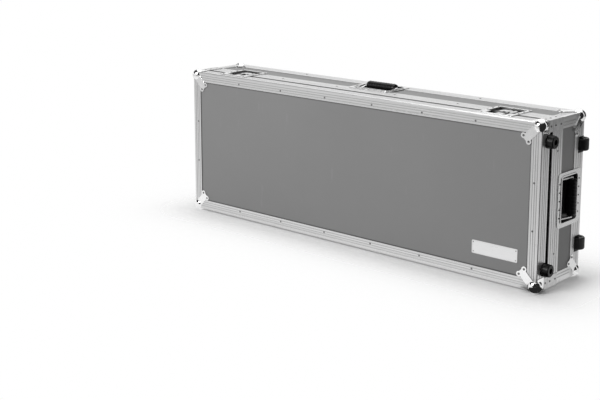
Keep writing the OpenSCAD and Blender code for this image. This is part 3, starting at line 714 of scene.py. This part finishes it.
PANEL_FACE = (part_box("lid_front_panel")[0].y - CORNER.y) * 1000
PLATE_LOW, PLATE_HIGH = (1126, 69), (1276, 108)    # its lower left and upper right, x and z
PLATE_ROUND, PLATE_FIELD = 4, 0.9                  # corner radius, and height inside the rim
PIN_X, PIN_Z = 5.5, 6                              # from its ends, and from its long sides
PIN = rivet_head, 3.4, 0.7, rivet_metal


def name_plate(loops):
    """A plate on the front panel, from loops of (inset, height) in millimetres."""
    (left, low), (right, high) = PLATE_LOW, PLATE_HIGH
    shape = bmesh.new()
    rings = []
    for inset, height in loops:
        loop = []
        for x, z, start in ((right - PLATE_ROUND, high - PLATE_ROUND, 0),
                            (left + PLATE_ROUND, high - PLATE_ROUND, 90),
                            (left + PLATE_ROUND, low + PLATE_ROUND, 180),
                            (right - PLATE_ROUND, low + PLATE_ROUND, 270)):
            for turn in range(0, 91, 15):
                angle, reach = math.radians(start + turn), PLATE_ROUND - inset
                loop.append(shape.verts.new(at(x + reach * math.cos(angle), PANEL_FACE - height,
                                               z + reach * math.sin(angle))))
        rings.append(loop)
    bridge(shape, rings)
    shape.faces.new(rings[-1])
    bmesh.ops.recalc_face_normals(shape, faces=shape.faces)
    mesh = mesh_of("name_plate", shape)
    mesh.materials.append(name_metal.material)
    return put("name_plate", mesh)


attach(name_plate([(0, -0.2), (0, 1.0), (0.3, 1.3), (1.5, 1.3), (1.8, PLATE_FIELD)]), "lid")
fix("name_plate_pins", "lid", PIN,
    [(at(x, PANEL_FACE - PLATE_FIELD, z), FRONT)
     for x in (PLATE_LOW[0] + PIN_X, PLATE_HIGH[0] - PIN_X)
     for z in (PLATE_LOW[1] + PIN_Z, PLATE_HIGH[1] - PIN_Z)], seed=14)


# ------------------------------------------------------------------ studio
# A pale floor that keeps the case's shadow and clears to plain white, so that the open lid shows
# where it hangs below it. A soft box overhead, another in front, and cards round about that the
# metal picks up.

FLOOR = 30.0                                       # half its sides
floor_mesh = bpy.data.meshes.new("studio_floor")
floor_mesh.from_pydata([(-FLOOR, -FLOOR, 0), (FLOOR, -FLOOR, 0), (FLOOR, FLOOR, 0),
                        (-FLOOR, FLOOR, 0)], [], [(0, 1, 2, 3)])
put("studio_floor", floor_mesh)

FOOTPRINT = (0.66, 0.10, 0)                        # half the sides of what stays a plain floor
CLEARING = 0.13                                    # metres over which it fades from there
paper = Finish("white_floor", Base_Color=grey(0.9), Roughness=0.9, Specular_IOR_Level=0.0)
reach = paper.node("ShaderNodeVectorMath", {"operation": "ABSOLUTE"}, {0: paper.place})
beyond = paper.node("ShaderNodeVectorMath", {"operation": "SUBTRACT"}, {0: reach, 1: FOOTPRINT})
outside = paper.node("ShaderNodeVectorMath", {"operation": "MAXIMUM"},
                     {0: beyond, 1: (0, 0, 0)})
away = paper.node("ShaderNodeVectorMath", {"operation": "LENGTH"}, {0: outside})
along = paper.node("ShaderNodeSeparateXYZ", {}, {"Vector": paper.place}, "X")
seen, mirrored, shading = (paper.node("ShaderNodeLightPath", {}, {}, ray) for ray in (
    "Is Camera Ray", "Is Glossy Ray", "Is Shadow Ray"))
dimmer = paper.above(away, 0.2, 1.0) * paper.above(along, -1.4, 0.0, 0.10, 0.30) \
    + paper.above(away, 1.2, 2.4, 0.0, 0.20)
white = paper.node("ShaderNodeEmission", {}, {"Color": 1.0 - mirrored * dimmer,
                                              "Strength": 1.0})
clear = paper.node("ShaderNodeBsdfTransparent", {}, {})
empty = paper.node("ShaderNodeMixShader", {}, {0: mirrored, 1: clear, 2: white})
near = away.maths("POWER", math.exp(-1 / CLEARING), away) * (1.0 - 0.6 * mirrored)
fade = paper.below(near, 0.0, 1.0) * (seen + mirrored + shading)
shown = paper.node("ShaderNodeMixShader", {}, {
    0: fade, 1: Signal(paper, paper.surface.outputs[0]), 2: empty})
paper.join(paper.nodes["Material Output"].inputs["Surface"], shown)
floor_mesh.materials.append(paper.material)

world = bpy.data.worlds.new("studio")
bpy.context.scene.world = world
world.use_nodes = True
world.node_tree.nodes.clear()
sky = Tree(world.node_tree)
direct, bounced, passed = (sky.node("ShaderNodeLightPath", {}, {}, ray) for ray in (
    "Is Camera Ray", "Is Glossy Ray", "Is Transmission Ray"))
lit = sky.node("ShaderNodeBackground", {}, {"Color": grey(1.0), "Strength": 0.32})
plain = sky.node("ShaderNodeBackground", {}, {"Color": grey(1.0), "Strength": 1.0})
sky.end("ShaderNodeOutputWorld", "Surface", sky.node(
    "ShaderNodeMixShader", {}, {0: direct + bounced + passed, 1: lit, 2: plain}))


def soft_box(name, place, aim, width, height, power):
    data = bpy.data.lights.new(name, "AREA")
    data.shape, data.size, data.size_y, data.energy = "RECTANGLE", width, height, power
    lamp = put(name, data)
    lamp.location = place
    lamp.rotation_euler = (Vector(aim) - Vector(place)).to_track_quat("-Z", "Y").to_euler()


soft_box("overhead", (-0.2, 0.9, 3.0), (0, 0.1, 0.3), 3.2, 1.8, 48)
soft_box("front", (-0.5, -2.5, 1.8), (-0.2, 0, 0.25), 1.6, 1.0, 50)


def card(name, centre, start, end, near, far, level, shades=False):
    """A curved card of even brightness between two bearings from the front, in degrees, and
    between two (radius, height) rims. Glossy surfaces see it, and matt ones if it shades."""
    steps = 24
    bearings = [math.radians(start + (end - start) * i / steps) for i in range(steps + 1)]
    corners = [(centre[0] + radius * math.sin(b), centre[1] - radius * math.cos(b), z)
               for b in bearings for radius, z in (near, far)]
    mesh = bpy.data.meshes.new(name)
    mesh.from_pydata(corners, [], [(2 * i, 2 * i + 2, 2 * i + 3, 2 * i + 1)
                                   for i in range(steps)])
    cloth = Finish(name, Base_Color=grey(0.0), Roughness=1.0, Specular_IOR_Level=0.0,
                   Emission_Color=grey(level), Emission_Strength=1.0)
    mesh.materials.append(cloth.material)
    made = put(name, mesh)
    made.visible_camera = made.visible_shadow = False
    made.visible_diffuse = shades


card("dark_wall_front", (0, 0), -8, 112, (4.6, 0.02), (4.6, 5.5), 0.02)
card("dark_wall_left", (0, 0), -100, -8, (4.6, 1.5), (3.6, 7.5), 0.02)
card("dark_floor_front", (0.6, -0.1), 4, 112, (0.03, 0.002), (4.4, 0.003), 0.02)
card("dark_wall_end", (0, 0), 122, 166, (2.4, 0.02), (2.4, 2.2), 0.03, shades=True)
card("grey_floor_end", (0.6, 0), 118, 172, (0.14, 0.002), (2.4, 0.003), 0.72)

PHOTO_WIDTH, FOCAL, SHIFT = 600, 1241.0, 80       # pixels of the photograph
camera_data = bpy.data.cameras.new("camera")
camera_data.sensor_width = 36
camera_data.lens = FOCAL / PHOTO_WIDTH * camera_data.sensor_width
camera_data.shift_y = -SHIFT / PHOTO_WIDTH
camera_data.clip_end = 100
camera = put("camera", camera_data)
camera.location = (2.3315, -2.9501, 1.1165)
camera.rotation_euler = (math.pi / 2 - 0.1935, 0, 0.7285)
bpy.context.scene.camera = camera
bpy.context.scene.view_settings.view_transform = "Standard"
